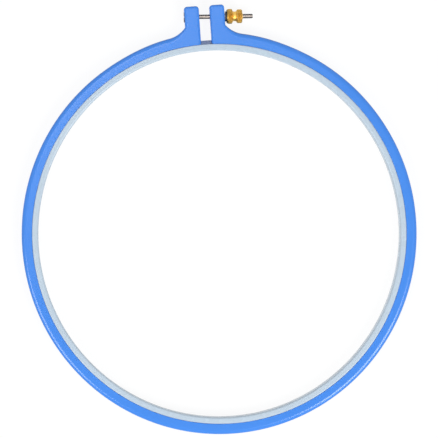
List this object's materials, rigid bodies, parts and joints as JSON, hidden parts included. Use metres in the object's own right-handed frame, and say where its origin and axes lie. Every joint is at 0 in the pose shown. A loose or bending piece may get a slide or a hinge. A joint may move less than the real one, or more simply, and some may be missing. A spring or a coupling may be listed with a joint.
{
  "type": "embroidery hoop",
  "caption": "Round plastic embroidery hoop: a plain inner ring with a back lip inside a split outer ring, drawn tight by a screw and a knurled brass thumb nut across two lugs.",
  "frame": {"origin": "on the surface that the hoop lies on, under the middle of the whole hoop with its lugs", "axes": "+Z along the rings' common axis towards the pictured front face, +Y from the rings' centre towards the split and the lugs, +X across the split, from the side of the screw's head towards the side of its nut"},
  "size_m": [0.252, 0.2738, 0.0121],
  "materials": {
    "blue_plastic": "moulded, semi-gloss",
    "pale_plastic": "moulded, semi-gloss",
    "screw_steel": "rolled thread, zinc plated",
    "washer_steel": "stamped, dull",
    "turned_brass": "turned and knurled"
  },
  "bodies": {
    "inner": {"inner_ring": "pale_plastic"},
    "screw_side": {"outer_ring_screw_half": "blue_plastic"},
    "nut_side": {"outer_ring_nut_half": "blue_plastic"},
    "screw": {"clamp_screw": "screw_steel"},
    "washer": {"washer": "washer_steel"},
    "nut": {"thumb_nut": "turned_brass"}
  },
  "joints": [
    {"name": "outer_ring_lift", "type": "slide", "parent": "inner", "child": "screw_side", "axis": [0, 0, 1], "range_m": [0, 0.025]},
    {"name": "outer_ring_flex", "type": "hinge", "parent": "screw_side", "child": "nut_side", "pos_m": [0, -0.13689, 0.0071], "axis": [0, 0, -1], "range_deg": [0, 1.08]},
    {"name": "screw_turn", "type": "hinge", "parent": "screw_side", "child": "screw", "pos_m": [-0.01278, 0.13051, 0.0071], "axis": [0.9986, -0.0523, 0], "continuous": true},
    {"name": "washer_travel", "type": "slide", "parent": "screw", "child": "washer", "axis": [0.9986, -0.0523, 0], "range_m": [0, 0.005]},
    {"name": "nut_turn", "type": "hinge", "parent": "washer", "child": "nut", "pos_m": [0.01404, 0.1291, 0.0071], "axis": [0.9986, -0.0523, 0], "range_deg": [0, 3600]}
  ],
  "couplings": [
    {"joint": "nut_turn", "follows": "washer_travel", "rad_per_m": 12566},
    {"joint": "outer_ring_flex", "follows": "washer_travel", "rad_per_m": 3.754}
  ]
}
